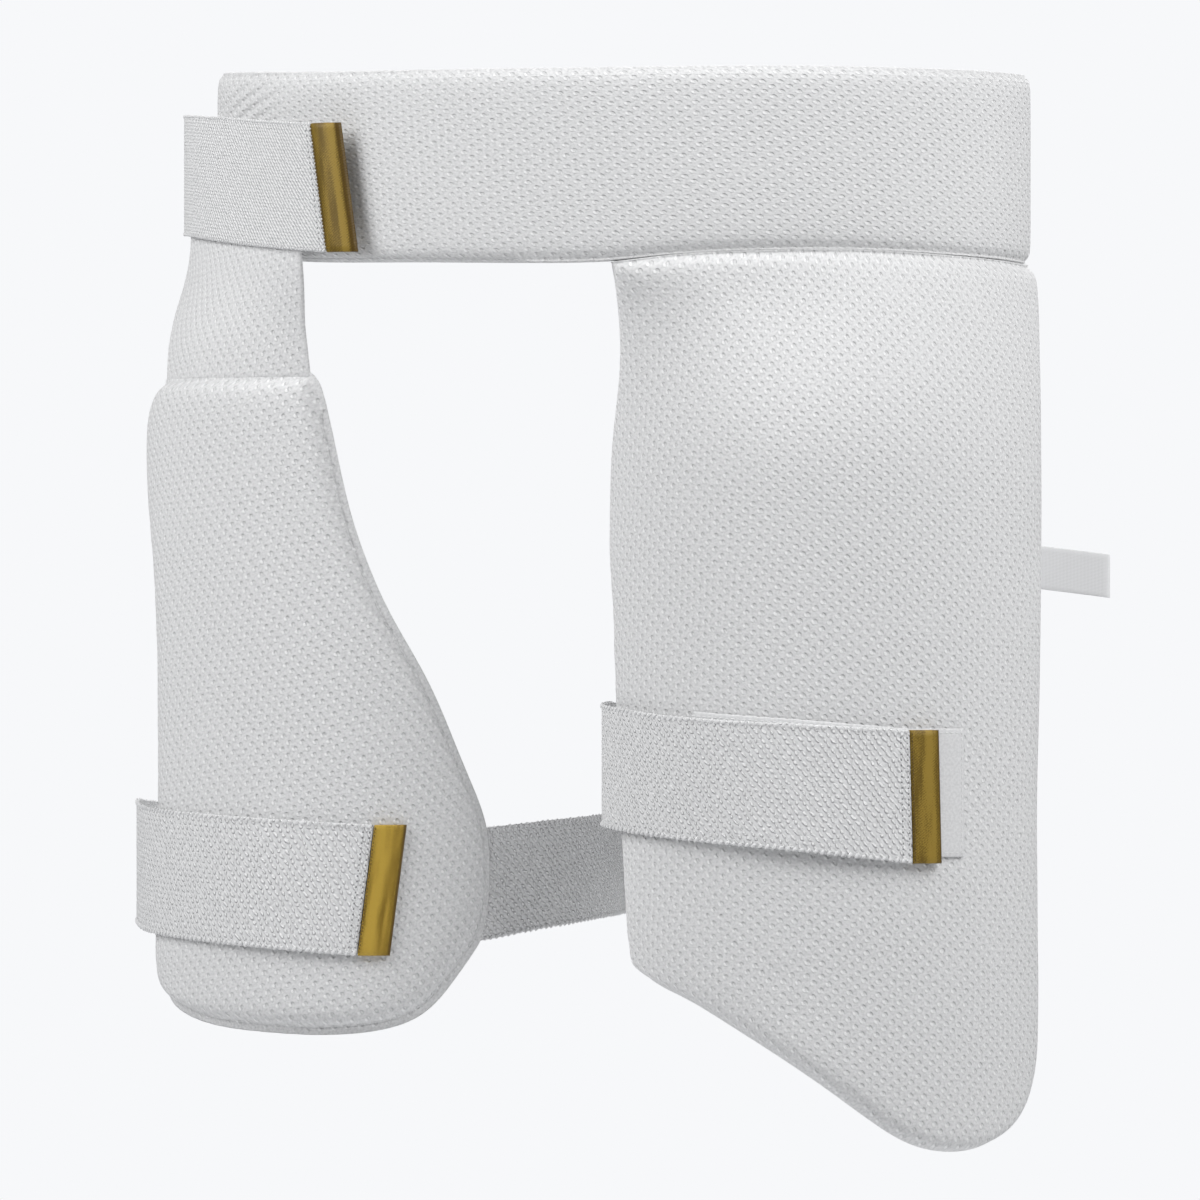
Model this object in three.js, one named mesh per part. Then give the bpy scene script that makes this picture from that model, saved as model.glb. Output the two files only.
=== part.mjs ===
import * as THREE from 'three';

// A cricket batter's combined thigh guard, standing in its worn form: a padded belt, a long outer pad
// sewn under it for the front leg, and a smaller inner pad on a fabric neck for the back leg.
// Lengths are millimetres and turns are degrees. The wearer faces -Y, +X is the wearer's left and +Z
// is up. The origin is the centre of the waist loop. A turn of 0 is the wearer's front, and turns
// grow towards the wearer's left. A lift is the distance off the body.

// The body's ovals that the guard wraps
const HIP_WIDTH = 364;
const HIP_DEPTH = 252;
const LEFT_THIGH_WIDTH = 176;
const LEFT_THIGH_DEPTH = 193;
const RIGHT_THIGH_WIDTH = 196;
const RIGHT_THIGH_DEPTH = 216;
const THIGH_SPACING = 216.6;
const THIGH_MIDDLE = 1.4;
const THIGH_FORWARD = 14;

// Padded pieces
const BELT_HEIGHT = 81;
const BELT_THICKNESS = 10;
const BELT_WRAP_ANGLE = 164;
const BELT_MIDDLE_ANGLE = 21;
const OUTER_PAD_LENGTH = 376;
const OUTER_PAD_THICKNESS = 12;
const OUTER_PAD_WRAP_ANGLE = 148;
const OUTER_PAD_MIDDLE_ANGLE = 35;
const INNER_PAD_LENGTH = 285;
const INNER_PAD_THICKNESS = 10;
const INNER_PAD_WRAP_ANGLE = 115;
const INNER_PAD_MIDDLE_ANGLE = 0.5;
const EDGE_ROUND = 7;
const HEM_WIDTH = 4;
const HEM_THICKNESS = 2;

// The fabric neck between the waist strap and the inner pad
const NECK_LENGTH = 78;
const NECK_THICKNESS = 2;
const NECK_TOP_DROP = 12;
const NECK_FREE_DROP = 33.6;

// Elastic straps, their satin end tabs, the hook patch and the care label
const STRAP_WIDTH = 56;
const STRAP_THICKNESS = 1.6;
const TAB_LENGTH = 12;
const TAB_THICKNESS = 2.4;
const WAIST_TAB_CURL = -3;
const PATCH_THICKNESS = 1;
const PATCH_HEIGHT = 54;
const LABEL_LENGTH = 33.5;
const LABEL_HEIGHT = 18.5;
const LABEL_THICKNESS = 1;
const LABEL_SPLAY_ANGLE = 30;
const LABEL_DROOP = 4.2;

// The straps' runs count their turns on past the start of the loop
const FULL_TURN = 360;

// Sewn and resting pieces lie this far apart
const SEAT_GAP = 0.4;

// How far below the belt the outer pad takes to settle from the hip's curve to the thigh's
const PAD_SETTLE_DROP = 90;

// Where the outer pad's top meets the belt: the hip's turn at the pad's start, and how many degrees
// on the hip go with one on the thigh
const PAD_SEAM_ANGLE = 19.7;
const PAD_SEAM_SHARE = 0.58;

// The belt's edges: heights over the origin, in shares of the belt's height
const BELT_EDGES = [
  { turn: -61, top: 0.52, bottom: -0.46 },
  { turn: -44, top: 0.498, bottom: -0.5 },
  { turn: -28, top: 0.473, bottom: -0.54 },
  { turn: -10, top: 0.458, bottom: -0.556 },
  { turn: 19, top: 0.447, bottom: -0.573 },
  { turn: 30, top: 0.448, bottom: -0.535 },
  { turn: 40, top: 0.45, bottom: -0.52 },
  { turn: 55, top: 0.45, bottom: -0.512 },
  { turn: 76, top: 0.448, bottom: -0.533 },
  { turn: 103, top: 0.45, bottom: -0.56 },
];

// The pads' outlines: shares of a pad's length down from its top, and of its wrap across it
const OUTER_PAD_CROTCH_SIDE = [
  { down: 0.02, across: 0.01 },
  { down: 0.09, across: 0.023 },
  { down: 0.14, across: 0.025 },
  { down: 0.2, across: 0.01 },
  { down: 0.27, across: 0 },
  { down: 0.34, across: 0 },
  { down: 0.41, across: 0.016 },
  { down: 0.54, across: 0.028 },
  { down: 0.68, across: 0.05 },
  { down: 0.77, across: 0.066 },
  { down: 0.796, across: 0.084 },
];
const OUTER_PAD_HIP_SIDE = [
  { down: 0.02, across: 0.975 },
  { down: 0.045, across: 0.968 },
  { down: 0.09, across: 0.95 },
  { down: 0.137, across: 0.942 },
  { down: 0.205, across: 0.936 },
  { down: 0.34, across: 0.936 },
  { down: 0.48, across: 0.93 },
  { down: 0.61, across: 0.92 },
  { down: 0.72, across: 0.922 },
  { down: 0.85, across: 0.922 },
  { down: 0.91, across: 0.915 },
  { down: 0.947, across: 0.889 },
];
const OUTER_PAD_TOE = [
  { across: 0.084, down: 0.796 },
  { across: 0.13, down: 0.812 },
  { across: 0.225, down: 0.832 },
  { across: 0.352, down: 0.876 },
  { across: 0.458, down: 0.92 },
  { across: 0.552, down: 0.964 },
  { across: 0.62, down: 0.99 },
  { across: 0.7, down: 1 },
  { across: 0.78, down: 0.994 },
  { across: 0.845, down: 0.975 },
  { across: 0.889, down: 0.947 },
];
const INNER_PAD_OUTSIDE = [
  { down: 0, across: 0.139 },
  { down: 0.02, across: 0.1 },
  { down: 0.045, across: 0.055 },
  { down: 0.08, across: 0.04 },
  { down: 0.21, across: 0.06 },
  { down: 0.29, across: 0.1 },
  { down: 0.38, across: 0.12 },
  { down: 0.47, across: 0.132 },
  { down: 0.7, across: 0.135 },
  { down: 0.9, across: 0.125 },
  { down: 0.95, across: 0.15 },
];
const INNER_PAD_CROTCH_SIDE = [
  { down: 0, across: 0.61 },
  { down: 0.02, across: 0.632 },
  { down: 0.05, across: 0.646 },
  { down: 0.11, across: 0.664 },
  { down: 0.23, across: 0.704 },
  { down: 0.35, across: 0.77 },
  { down: 0.47, across: 0.864 },
  { down: 0.59, across: 0.936 },
  { down: 0.68, across: 0.99 },
  { down: 0.74, across: 0.998 },
  { down: 0.8, across: 0.996 },
  { down: 0.86, across: 0.975 },
];
const INNER_PAD_TOE = [
  { across: 0.15, down: 0.95 },
  { across: 0.22, down: 0.97 },
  { across: 0.35, down: 0.988 },
  { across: 0.5, down: 0.997 },
  { across: 0.66, down: 1 },
  { across: 0.78, down: 0.99 },
  { across: 0.86, down: 0.965 },
  { across: 0.93, down: 0.905 },
  { across: 0.975, down: 0.86 },
];

// The neck's sides: shares of its length down, and turns on the right thigh's oval
const NECK_SIDES = [
  { down: 0, outside: -60, inside: 16 },
  { down: 0.4, outside: -60, inside: 16 },
  { down: 0.53, outside: -60, inside: 15 },
  { down: 0.66, outside: -55, inside: 13.5 },
  { down: 0.8, outside: -46, inside: 12.5 },
  { down: 1, outside: -41, inside: 13.15 },
];
const NECK_HIP_TURN = { outside: -63, inside: -25.6 };

// The straps' runs: rise is the strap's middle and width its width, in shares of the strap's width.
// Seat is the lift in shares of the full lift over the padding at the fastened end, and lean is how
// far the strap's end is cut off square, in degrees from its top to its bottom edge.
const WAIST_STRAP_RUN = [
  { turn: 93, rise: -0.07, width: 0.92, seat: -0.16, lean: 0 },
  { turn: 104, rise: -0.07, width: 0.92, seat: -0.16, lean: 0 },
  { turn: 118, rise: -0.05, width: 0.92, seat: 0.1, lean: 0 },
  { turn: 180, rise: 0, width: 0.92, seat: 0.8, lean: 0 },
  { turn: 250, rise: -0.02, width: 0.93, seat: 1.4, lean: 0 },
  { turn: 285, rise: -0.04, width: 0.94, seat: 1.6, lean: 0 },
  { turn: 298, rise: -0.055, width: 0.95, seat: 1.54, lean: 0 },
  { turn: 312, rise: -0.11, width: 0.965, seat: 1.3, lean: 0 },
  { turn: 323, rise: -0.16, width: 0.98, seat: 1.2, lean: 1 },
  { turn: 339.4, rise: -0.229, width: 0.99, seat: 1.55, lean: 3 },
];
const OUTER_STRAP_RUN = [
  { turn: 86, rise: 0.06, width: 0.9, seat: -0.15, lean: 0 },
  { turn: 99, rise: 0.06, width: 0.9, seat: -0.17, lean: 0 },
  { turn: 122, rise: 0.06, width: 0.88, seat: -0.4, lean: 0 },
  { turn: 180, rise: 0.1, width: 0.86, seat: -0.1, lean: 0 },
  { turn: 250, rise: 0.18, width: 0.88, seat: 0.02, lean: 0 },
  { turn: 290, rise: 0.22, width: 0.91, seat: 0.04, lean: 0 },
  { turn: 302, rise: 0.23, width: 0.92, seat: 0.06, lean: 0 },
  { turn: 315, rise: 0.23, width: 0.92, seat: 0.4, lean: 0 },
  { turn: 325, rise: 0.22, width: 0.92, seat: 0.9, lean: 0 },
  { turn: 332, rise: 0.2, width: 0.92, seat: 1, lean: 0 },
  { turn: 356, rise: 0.13, width: 0.92, seat: 1, lean: 0 },
  { turn: 383, rise: 0.07, width: 0.95, seat: 1, lean: 0 },
  { turn: 409.9, rise: -0.003, width: 1, seat: 1, lean: 0.8 },
];
const INNER_STRAP_RUN = [
  { turn: 48, rise: -0.17, width: 0.86, seat: -0.2, lean: 0 },
  { turn: 58, rise: -0.135, width: 0.86, seat: -0.2, lean: 0 },
  { turn: 66, rise: -0.1, width: 0.84, seat: -0.06, lean: 0 },
  { turn: 78, rise: -0.06, width: 0.82, seat: 0.04, lean: 0 },
  { turn: 105, rise: -0.015, width: 0.79, seat: 0.05, lean: 0 },
  { turn: 140, rise: -0.035, width: 0.76, seat: 0.05, lean: 0 },
  { turn: 187, rise: -0.155, width: 0.76, seat: 0.06, lean: 0 },
  { turn: 250, rise: -0.06, width: 0.86, seat: 0.3, lean: 0 },
  { turn: 290, rise: 0, width: 0.93, seat: 0.85, lean: 0 },
  { turn: 304, rise: 0.01, width: 0.95, seat: 0.97, lean: 0 },
  { turn: 320, rise: -0.04, width: 0.965, seat: 1, lean: 0 },
  { turn: 346, rise: -0.09, width: 0.98, seat: 1, lean: 0 },
  { turn: 386.9, rise: -0.175, width: 1, seat: 1, lean: -3.7 },
];

// Where the thigh straps' middles run, in shares of the pads' lengths down from their tops
const OUTER_STRAP_DOWN = 0.6;
const INNER_STRAP_DOWN = 0.7474;

// How far the label hangs under the belt
const LABEL_DROP = 129;

// Where the hook patch lies round the left thigh, and how far over the strap's middle
const PATCH_START_ANGLE = -2;
const PATCH_END_ANGLE = 64.4;
const PATCH_RAISE = 1.5;

// One colour and one surface for each material
const FINISHES = {
  mesh: { color: 0xe2e3e5, roughness: 0.9, metalness: 0 },
  elastic: { color: 0xdcdddf, roughness: 0.95, metalness: 0 },
  satin: { color: 0x8a7238, roughness: 0.45, metalness: 0 },
  hook: { color: 0xd8d9db, roughness: 0.95, metalness: 0 },
  tape: { color: 0xeeeeee, roughness: 0.7, metalness: 0 },
};

const oval = (width, depth, x, y) => ({ x, y, a: width / 2, b: depth / 2 });
const HIP = oval(HIP_WIDTH, HIP_DEPTH, 0, 0);
const LEFT_MIDDLE = THIGH_MIDDLE + THIGH_SPACING / 2;
const RIGHT_MIDDLE = THIGH_MIDDLE - THIGH_SPACING / 2;
const LEFT_THIGH = oval(LEFT_THIGH_WIDTH, LEFT_THIGH_DEPTH, LEFT_MIDDLE, -THIGH_FORWARD);
const RIGHT_THIGH = oval(RIGHT_THIGH_WIDTH, RIGHT_THIGH_DEPTH, RIGHT_MIDDLE, -THIGH_FORWARD);

// The point of an oval at a turn, lifted off it along its outward normal
function onOval(form, turn, lift) {
  const angle = THREE.MathUtils.degToRad(turn);
  const out = new THREE.Vector2(Math.sin(angle) / form.a, -Math.cos(angle) / form.b).normalize();
  return new THREE.Vector2(
    form.x + form.a * Math.sin(angle) + lift * out.x,
    form.y - form.b * Math.cos(angle) + lift * out.y,
  );
}

const onForm = (form) => (turn, z, lift) => {
  const { x, y } = onOval(form, turn, lift);
  return new THREE.Vector3(x, y, z);
};

// A smooth curve through one column of a table whose rows are ordered by another
function follow(rows, order, column, at) {
  let i = 0;
  while (i < rows.length - 2 && at > rows[i + 1][order]) i += 1;
  const slope = (j) => {
    const before = rows[Math.max(j - 1, 0)];
    const after = rows[Math.min(j + 1, rows.length - 1)];
    return (after[column] - before[column]) / (after[order] - before[order]);
  };
  const span = rows[i + 1][order] - rows[i][order];
  const t = THREE.MathUtils.clamp((at - rows[i][order]) / span, 0, 1);
  const eased = t * t * (3 - 2 * t);
  const lean = span * (t * (1 - t) ** 2 * slope(i) - t * t * (1 - t) * slope(i + 1));
  return rows[i][column] * (1 - eased) + rows[i + 1][column] * eased + lean;
}

const beltTop = (turn) => BELT_HEIGHT * follow(BELT_EDGES, 'turn', 'top', turn);
const beltBottom = (turn) => BELT_HEIGHT * follow(BELT_EDGES, 'turn', 'bottom', turn);
const BELT_START_TURN = BELT_MIDDLE_ANGLE - BELT_WRAP_ANGLE / 2;
const BELT_END_TURN = BELT_MIDDLE_ANGLE + BELT_WRAP_ANGLE / 2;
const PAD_TOP = beltBottom(BELT_END_TURN);

// Under the belt the outer pad leaves the hip's oval and settles on the left thigh's
const OUTER_PAD_START = OUTER_PAD_MIDDLE_ANGLE - OUTER_PAD_WRAP_ANGLE / 2;
const seamTurn = (turn) => PAD_SEAM_ANGLE + (turn - OUTER_PAD_START) * PAD_SEAM_SHARE;
function underBelt(turn, z, lift) {
  const share = Math.sin((Math.PI / 2) * THREE.MathUtils.clamp((PAD_TOP - z) / PAD_SETTLE_DROP, 0, 1));
  const hip = onOval(HIP, seamTurn(turn), lift);
  const { x, y } = hip.lerp(onOval(LEFT_THIGH, turn, lift), share);
  return new THREE.Vector3(x, y, z);
}

// The full lifts of the straps' fastened ends over the padding
const WAIST_SEAT = BELT_THICKNESS + NECK_THICKNESS + 2 * SEAT_GAP;
const OUTER_SEAT = OUTER_PAD_THICKNESS + PATCH_THICKNESS + 2 * SEAT_GAP;
const INNER_SEAT = INNER_PAD_THICKNESS + SEAT_GAP;

// The neck starts between the belt and the waist strap and settles on the right thigh's oval
const INNER_PAD_TOP = -NECK_TOP_DROP - NECK_LENGTH;
function onNeck(turn, z, lift) {
  const first = NECK_SIDES[0];
  const across = (turn - first.outside) / (first.inside - first.outside);
  const hipTurn = THREE.MathUtils.lerp(NECK_HIP_TURN.outside, NECK_HIP_TURN.inside, across);
  const seat = WAIST_SEAT * follow(WAIST_STRAP_RUN, 'turn', 'seat', hipTurn + FULL_TURN);
  const tucked = onOval(HIP, hipTurn, seat - SEAT_GAP - NECK_THICKNESS + lift);
  const share = THREE.MathUtils.smoothstep(-z, NECK_FREE_DROP, -INNER_PAD_TOP);
  const { x, y } = tucked.lerp(onOval(RIGHT_THIGH, turn, lift), share);
  return new THREE.Vector3(x, y, z);
}

// Builds a mesh from points and triangles
function meshOf(name, finish, points, triangles) {
  const geometry = new THREE.BufferGeometry().setFromPoints(points);
  geometry.setIndex(triangles);
  geometry.computeVertexNormals();
  const mesh = new THREE.Mesh(geometry, new THREE.MeshStandardMaterial(FINISHES[finish]));
  mesh.name = name;
  return mesh;
}

// Shares across a span that step close together over its hem and its rounded edges
function edgeSteps(span, hem, round, count) {
  const steps = hem > 0 ? [0, hem, hem + 0.15 * round] : [0, 0.15 * round];
  steps.push(hem + 0.5 * round, hem + round);
  const near = steps.map((step) => step / span);
  const last = near[near.length - 1];
  const middle = [];
  for (let i = 1; i < count; i += 1) middle.push(last + (i / count) * (1 - 2 * last));
  return [...near, ...middle, ...near.map((share) => 1 - share).reverse()];
}

// A padded sheet inside four edges, given as turns and heights. Its face rolls over towards the edge.
function padded({ name, finish, edges, scale, surface, thickness, round, hem, columns, rows }) {
  const flat = (point) => new THREE.Vector2(point.x * scale, point.y);
  const curves = {};
  for (const side of ['top', 'bottom', 'left', 'right']) {
    curves[side] = new THREE.SplineCurve(edges[side].map(flat));
  }
  const outline = [
    ...curves.top.getSpacedPoints(60),
    ...curves.right.getSpacedPoints(60),
    ...curves.bottom.getSpacedPoints(60).reverse(),
    ...curves.left.getSpacedPoints(60).reverse(),
  ];
  const width = curves.bottom.getLength();
  const height = curves.left.getLength();
  const across = edgeSteps(width, hem, round, columns);
  const down = edgeSteps(height, hem, round, rows);

  const spot = (u, v) => {
    const [top, bottom] = [curves.top.getPointAt(u), curves.bottom.getPointAt(u)];
    const [left, right] = [curves.left.getPointAt(v), curves.right.getPointAt(v)];
    const corners = curves.top.getPointAt(0).lerp(curves.top.getPointAt(1), u)
      .lerp(curves.bottom.getPointAt(0).lerp(curves.bottom.getPointAt(1), u), v);
    return top.lerp(bottom, v).add(left.lerp(right, u)).sub(corners);
  };
  const distance = (point) => {
    let least = Infinity;
    for (let i = 0; i < outline.length; i += 1) {
      const from = outline[i];
      const to = outline[(i + 1) % outline.length].clone().sub(from);
      const length = to.lengthSq() || 1;
      const t = THREE.MathUtils.clamp(point.clone().sub(from).dot(to) / length, 0, 1);
      least = Math.min(least, point.distanceTo(from.clone().addScaledVector(to, t)));
    }
    return least;
  };
  const edgeLift = hem > 0 ? HEM_THICKNESS / 2 : thickness / 4;
  const faceLift = (d) => {
    const roll = Math.sqrt(1 - (1 - THREE.MathUtils.clamp((d - hem) / round, 0, 1)) ** 2);
    const low = hem > 0 ? HEM_THICKNESS : edgeLift;
    return low + (thickness - low) * roll;
  };
  const backLift = (d) => (hem > 0 ? 0 : edgeLift * (1 - THREE.MathUtils.clamp((2 * d) / round, 0, 1)));

  const points = [];
  const front = [];
  const back = [];
  down.forEach((v, j) => across.forEach((u, i) => {
    const rim = i === 0 || j === 0 || i === across.length - 1 || j === down.length - 1;
    const place = spot(u, v);
    const at = (lift) => points.push(surface(place.x / scale, place.y, lift)) - 1;
    if (rim) {
      const index = at(edgeLift);
      front.push(index);
      back.push(index);
    } else {
      const d = distance(place);
      front.push(at(faceLift(d)));
      back.push(at(backLift(d)));
    }
  }));

  const triangles = [];
  const n = across.length;
  for (let j = 0; j < down.length - 1; j += 1) {
    for (let i = 0; i < n - 1; i += 1) {
      const [a, b, c, d] = [j * n + i, j * n + i + 1, (j + 1) * n + i, (j + 1) * n + i + 1];
      const cornerOfA = i === 0 && j === 0;
      const cornerOfD = i === n - 2 && j === down.length - 2;
      const halves = cornerOfA || cornerOfD ? [[a, c, d], [a, d, b]] : [[a, c, b], [b, c, d]];
      for (const [p, q, r] of halves) {
        triangles.push(front[p], front[q], front[r], back[p], back[r], back[q]);
      }
    }
  }
  return meshOf(name, finish, points, triangles);
}

// A closed band through rings of points, capped at both ends
function banded(name, finish, rings) {
  const sides = rings[0].length;
  const triangles = [];
  for (let k = 0; k < rings.length - 1; k += 1) {
    for (let j = 0; j < sides; j += 1) {
      const [a, b] = [k * sides + j, k * sides + ((j + 1) % sides)];
      triangles.push(a, b, a + sides, b, b + sides, a + sides);
    }
  }
  const last = (rings.length - 1) * sides;
  for (let j = 1; j < sides - 1; j += 1) {
    triangles.push(0, j + 1, j, last, last + j, last + j + 1);
  }
  return meshOf(name, finish, rings.flat(), triangles);
}

// A strap's section at one place of its run: its inner and outer face at its top and bottom edge
function strapRing({ surface, middle, seat }, place, thickness) {
  const height = middle + STRAP_WIDTH * place.rise;
  const half = (STRAP_WIDTH * place.width) / 2;
  const point = (side, raise) => surface(
    place.turn - (side * place.lean) / 2,
    height + side * half,
    seat * place.seat + raise,
  );
  return [point(1, 0), point(1, thickness), point(-1, thickness), point(-1, 0)];
}

function strap(name, options) {
  const { run, steps } = options;
  const rings = [];
  for (let i = 0; i <= steps; i += 1) {
    const turn = THREE.MathUtils.lerp(run[0].turn, run[run.length - 1].turn, i / steps);
    const place = { turn };
    for (const column of ['rise', 'width', 'seat', 'lean']) {
      place[column] = follow(run, 'turn', column, turn);
    }
    rings.push(strapRing(options, place, STRAP_THICKNESS));
  }
  return banded(name, 'elastic', rings);
}

// The folded satin tab that closes a strap's end. Its free edge is lifted by the curl.
function endTab(name, options, curl) {
  const end = options.run[options.run.length - 1];
  const at = (turn) => options.surface(turn, 0, options.seat);
  const millimetres = at(end.turn + 1).distanceTo(at(end.turn));
  const rings = [];
  const steps = 5;
  for (let i = 0; i <= steps; i += 1) {
    const share = i / steps;
    const turn = end.turn + (SEAT_GAP + share * TAB_LENGTH) / millimetres;
    const seat = end.seat + (curl / options.seat) * share ** 2;
    rings.push(strapRing(options, { ...end, turn, seat }, TAB_THICKNESS));
  }
  return banded(name, 'satin', rings);
}

// Millimetres to a degree of turn, as an average round an oval
const perDegree = (form) => ((form.a + form.b) / 2) * THREE.MathUtils.degToRad(1);

function waistBelt() {
  const edge = (height) => {
    const steps = 24;
    return Array.from({ length: steps + 1 }, (_, i) => {
      const turn = THREE.MathUtils.lerp(BELT_START_TURN, BELT_END_TURN, i / steps);
      return new THREE.Vector2(turn, height(turn));
    });
  };
  const [top, bottom] = [edge(beltTop), edge(beltBottom)];
  const last = top.length - 1;
  return padded({
    name: 'waist_belt',
    finish: 'mesh',
    edges: { top, bottom, left: [top[0], bottom[0]], right: [top[last], bottom[last]] },
    scale: perDegree(HIP),
    surface: onForm(HIP),
    thickness: BELT_THICKNESS,
    round: EDGE_ROUND,
    hem: 0,
    columns: 34,
    rows: 3,
  });
}

function outerPad() {
  const at = ({ across, down }) => new THREE.Vector2(
    OUTER_PAD_START + across * OUTER_PAD_WRAP_ANGLE,
    PAD_TOP - down * OUTER_PAD_LENGTH,
  );
  const [crotch, hip] = [OUTER_PAD_CROTCH_SIDE, OUTER_PAD_HIP_SIDE].map((rows) => rows.map(at));
  const steps = 16;
  const top = Array.from({ length: steps + 1 }, (_, i) => {
    const turn = THREE.MathUtils.lerp(crotch[0].x, hip[0].x, i / steps);
    return new THREE.Vector2(turn, beltBottom(seamTurn(turn)) - SEAT_GAP);
  });
  return padded({
    name: 'outer_pad',
    finish: 'mesh',
    edges: {
      top,
      bottom: OUTER_PAD_TOE.map(at),
      left: [top[0], ...crotch.slice(1)],
      right: [top[steps], ...hip.slice(1)],
    },
    scale: perDegree(LEFT_THIGH),
    surface: underBelt,
    thickness: OUTER_PAD_THICKNESS,
    round: EDGE_ROUND,
    hem: 0,
    columns: 20,
    rows: 28,
  });
}

function innerPad() {
  const start = INNER_PAD_MIDDLE_ANGLE - INNER_PAD_WRAP_ANGLE / 2;
  const at = ({ across, down }) => new THREE.Vector2(
    start + across * INNER_PAD_WRAP_ANGLE,
    INNER_PAD_TOP - SEAT_GAP - down * INNER_PAD_LENGTH,
  );
  const [left, right, bottom] = [INNER_PAD_OUTSIDE, INNER_PAD_CROTCH_SIDE, INNER_PAD_TOE]
    .map((rows) => rows.map(at));
  return padded({
    name: 'inner_pad',
    finish: 'mesh',
    edges: { top: [left[0], right[0]], bottom, left, right },
    scale: perDegree(RIGHT_THIGH),
    surface: onForm(RIGHT_THIGH),
    thickness: INNER_PAD_THICKNESS,
    round: EDGE_ROUND,
    hem: HEM_WIDTH,
    columns: 17,
    rows: 20,
  });
}

function innerNeck() {
  const side = (column) => NECK_SIDES.map((row) => new THREE.Vector2(
    row[column],
    -NECK_TOP_DROP - row.down * NECK_LENGTH,
  ));
  const [left, right] = [side('outside'), side('inside')];
  const last = left.length - 1;
  const round = NECK_THICKNESS;
  return padded({
    name: 'inner_neck',
    finish: 'mesh',
    edges: { top: [left[0], right[0]], bottom: [left[last], right[last]], left, right },
    scale: perDegree(RIGHT_THIGH),
    surface: onNeck,
    thickness: NECK_THICKNESS,
    round,
    hem: 0,
    columns: 8,
    rows: 10,
  });
}

const WAIST_STRAP = {
  surface: onForm(HIP),
  run: WAIST_STRAP_RUN,
  middle: 0,
  seat: WAIST_SEAT,
  steps: 72,
};
const OUTER_STRAP = {
  surface: onForm(LEFT_THIGH),
  run: OUTER_STRAP_RUN,
  middle: PAD_TOP - OUTER_STRAP_DOWN * OUTER_PAD_LENGTH,
  seat: OUTER_SEAT,
  steps: 80,
};
const INNER_STRAP = {
  surface: onForm(RIGHT_THIGH),
  run: INNER_STRAP_RUN,
  middle: INNER_PAD_TOP - INNER_STRAP_DOWN * INNER_PAD_LENGTH,
  seat: INNER_SEAT,
  steps: 80,
};

// The smooth patch on the outer pad that the outer strap's hooks grip
function hookPatch() {
  const rings = [];
  const steps = 14;
  for (let i = 0; i <= steps; i += 1) {
    const turn = THREE.MathUtils.lerp(PATCH_START_ANGLE, PATCH_END_ANGLE, i / steps);
    const rise = STRAP_WIDTH * follow(OUTER_STRAP_RUN, 'turn', 'rise', turn + FULL_TURN);
    const middle = OUTER_STRAP.middle + rise + PATCH_RAISE;
    const lift = OUTER_PAD_THICKNESS + SEAT_GAP;
    const point = (side, raise) => (
      underBelt(turn, middle + (side * PATCH_HEIGHT) / 2, lift + raise)
    );
    rings.push([point(1, 0), point(1, PATCH_THICKNESS), point(-1, PATCH_THICKNESS), point(-1, 0)]);
  }
  return banded('outer_hook_patch', 'hook', rings);
}

// The folded tape label sewn into the outer pad's edge
function sideLabel() {
  const across = follow(OUTER_PAD_HIP_SIDE, 'down', 'across', LABEL_DROP / OUTER_PAD_LENGTH);
  const edgeTurn = OUTER_PAD_START + across * OUTER_PAD_WRAP_ANGLE;
  const clear = (SEAT_GAP + 0.75 * LABEL_THICKNESS) / perDegree(LEFT_THIGH);
  const root = underBelt(edgeTurn + clear, PAD_TOP - LABEL_DROP, OUTER_PAD_THICKNESS / 4);
  const splay = THREE.MathUtils.degToRad(LABEL_SPLAY_ANGLE);
  const out = new THREE.Vector3(Math.cos(splay), Math.sin(splay), 0);
  const side = new THREE.Vector3(-out.y, out.x, 0);
  const rings = [];
  for (let i = 0; i <= 4; i += 1) {
    const share = i / 4;
    const middle = root.clone().addScaledVector(out, share * LABEL_LENGTH);
    middle.z -= share * LABEL_DROOP;
    const point = (up, swing) => middle.clone()
      .addScaledVector(side, (swing * LABEL_THICKNESS) / 2)
      .add(new THREE.Vector3(0, 0, (up * LABEL_HEIGHT) / 2));
    rings.push([point(1, 1), point(1, -1), point(-1, -1), point(-1, 1)]);
  }
  return banded('side_label', 'tape', rings);
}

const guard = new THREE.Group();
guard.add(
  waistBelt(),
  outerPad(),
  innerNeck(),
  innerPad(),
  hookPatch(),
  strap('waist_strap', WAIST_STRAP),
  strap('outer_strap', OUTER_STRAP),
  strap('inner_strap', INNER_STRAP),
  endTab('waist_tab', WAIST_STRAP, WAIST_TAB_CURL),
  endTab('outer_tab', OUTER_STRAP, 0),
  endTab('inner_tab', INNER_STRAP, 0),
  sideLabel(),
);

export default guard;
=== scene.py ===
import math

import bmesh
import bpy
import numpy as np
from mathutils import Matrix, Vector
from mathutils.bvhtree import BVHTree
from mathutils.kdtree import KDTree


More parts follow.
